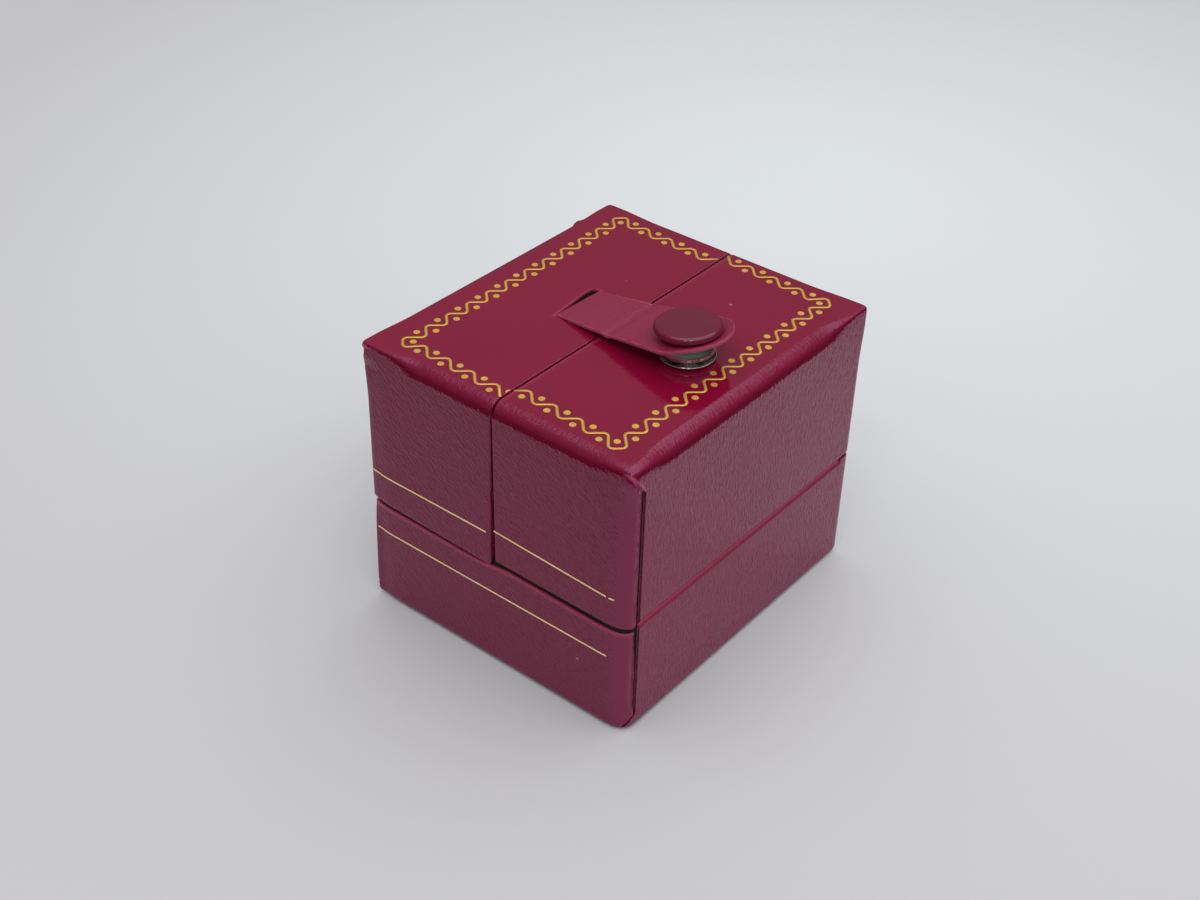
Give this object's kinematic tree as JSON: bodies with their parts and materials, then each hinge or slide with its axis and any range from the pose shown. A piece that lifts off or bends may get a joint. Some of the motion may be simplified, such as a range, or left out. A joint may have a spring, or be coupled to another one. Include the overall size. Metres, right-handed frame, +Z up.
{
  "type": "double ring box",
  "caption": "Small leatherette ring box: padded base with ring slots, doors that meet over the middle and swing out to the sides on creases, and a snap tab that holds them shut.",
  "frame": {"origin": "middle of the underside, on the table", "axes": "+Z up, -Y towards the front wall with the gold lines, +X towards the right door's crease; the doors part at x = 0"},
  "size_m": [0.057, 0.065, 0.0602],
  "materials": {
    "leatherette": "crimson leatherette with fine grain, glossy on the top",
    "tab_leatherette": "crimson leatherette, satin",
    "card": "grey-brown card",
    "tray_plastic": "dark formed plastic",
    "velvet": "ivory velvet",
    "satin": "ivory satin",
    "nickel": "bright nickel plate",
    "cap_lacquer": "glossy burgundy lacquer"
  },
  "bodies": {
    "base": {"base_shell": "tray_plastic", "base_cover": "leatherette", "base_front_wrap": "leatherette", "base_back_wrap": "leatherette", "base_left_board": "card", "base_right_board": "card", "base_bottom_board": "card", "base_lining": "velvet", "insert_bed": "card", "ring_roll_front": "velvet", "ring_roll_middle": "velvet", "ring_roll_back": "velvet"},
    "left_door": {"left_door_shell": "tray_plastic", "left_door_cover": "leatherette", "left_door_board": "card", "left_door_lining": "velvet", "left_door_pad": "satin", "tab_anchor": "tab_leatherette"},
    "right_door": {"right_door_shell": "tray_plastic", "right_door_cover": "leatherette", "right_door_board": "card", "right_door_lining": "velvet", "right_door_pad": "satin", "snap_stud": "nickel", "stud_washer": "nickel"},
    "tab": {"tab_strap": "tab_leatherette", "tab_lining": "tab_leatherette", "snap_cap": "cap_lacquer", "snap_socket": "nickel", "socket_spring": "nickel"}
  },
  "joints": [
    {"name": "left_door_swing", "type": "hinge", "parent": "base", "child": "left_door", "pos_m": [-0.0283, 0, 0.0223], "axis": [0, -1, 0], "range_deg": [0, 115]},
    {"name": "right_door_swing", "type": "hinge", "parent": "base", "child": "right_door", "pos_m": [0.0283, 0, 0.0223], "axis": [0, 1, 0], "range_deg": [0, 115]},
    {"name": "tab_lift", "type": "hinge", "parent": "left_door", "child": "tab", "pos_m": [-0.009, 0, 0.0536], "axis": [0, -1, 0], "range_deg": [0, 105]}
  ],
  "couplings": [
    {"joint": "right_door_swing", "follows": "left_door_swing", "ratio": 1}
  ]
}
